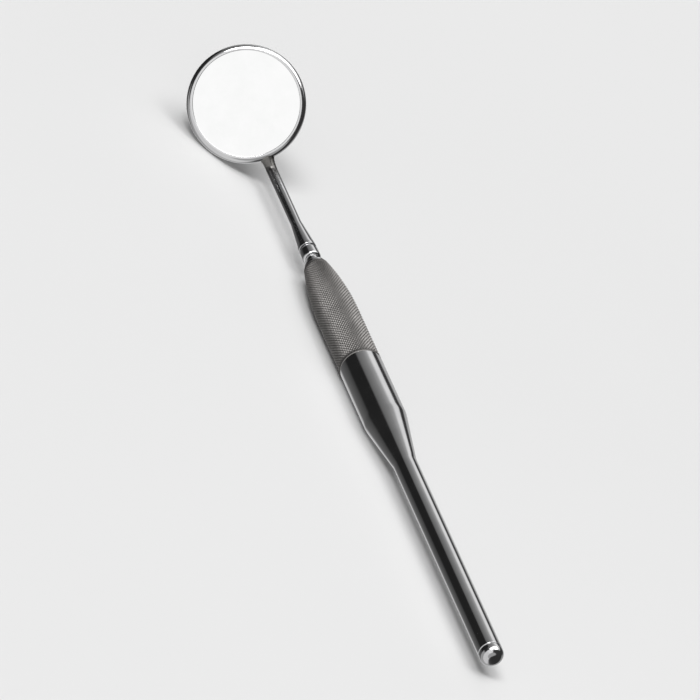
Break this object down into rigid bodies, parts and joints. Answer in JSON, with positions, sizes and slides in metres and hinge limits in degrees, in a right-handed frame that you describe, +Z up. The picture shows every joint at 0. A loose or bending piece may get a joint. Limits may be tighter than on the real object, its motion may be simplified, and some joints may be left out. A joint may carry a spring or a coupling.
{
  "type": "dental mouth mirror",
  "caption": "Round dental mouth mirror on a thin bent-in stem that screws into a slim round handle with a finely knurled grip, polished barrel and narrow rear shank.",
  "frame": {"origin": "middle of the outline on the table that the mirror lies on, z = 0 at the table", "axes": "+Z up, +Y along the handle towards the mirror head, the mirror face turned up towards -X"},
  "size_m": [0.021, 0.1644, 0.0204],
  "materials": {
    "satin_steel": "satin",
    "polished_steel": "polished",
    "silver_solder": "satin",
    "mirror_coating": "mirror",
    "glass": "gloss",
    "cement": "matt",
    "sealant": "matt"
  },
  "bodies": {
    "handle": {"grip_tube": "satin_steel", "rear_shank": "polished_steel", "end_plug": "polished_steel", "socket_insert": "polished_steel"},
    "ring": {"lock_ring": "polished_steel"},
    "head": {"mirror_stem": "polished_steel", "stem_solder": "silver_solder", "mirror_cup": "polished_steel", "cement_pad": "cement", "mirror_glass": "glass", "reflective_coating": "mirror_coating", "edge_seal": "sealant"}
  },
  "joints": [
    {"name": "thread_advance", "type": "slide", "parent": "handle", "child": "ring", "axis": [0, 1, 0], "range_m": [0, 0.00495]},
    {"name": "head_unscrew", "type": "hinge", "parent": "ring", "child": "head", "pos_m": [0.00652, 0.03442, 0.004], "axis": [0, 1, 0], "range_deg": [0, 3960]}
  ],
  "couplings": [
    {"joint": "head_unscrew", "follows": "thread_advance", "rad_per_m": 13963}
  ]
}
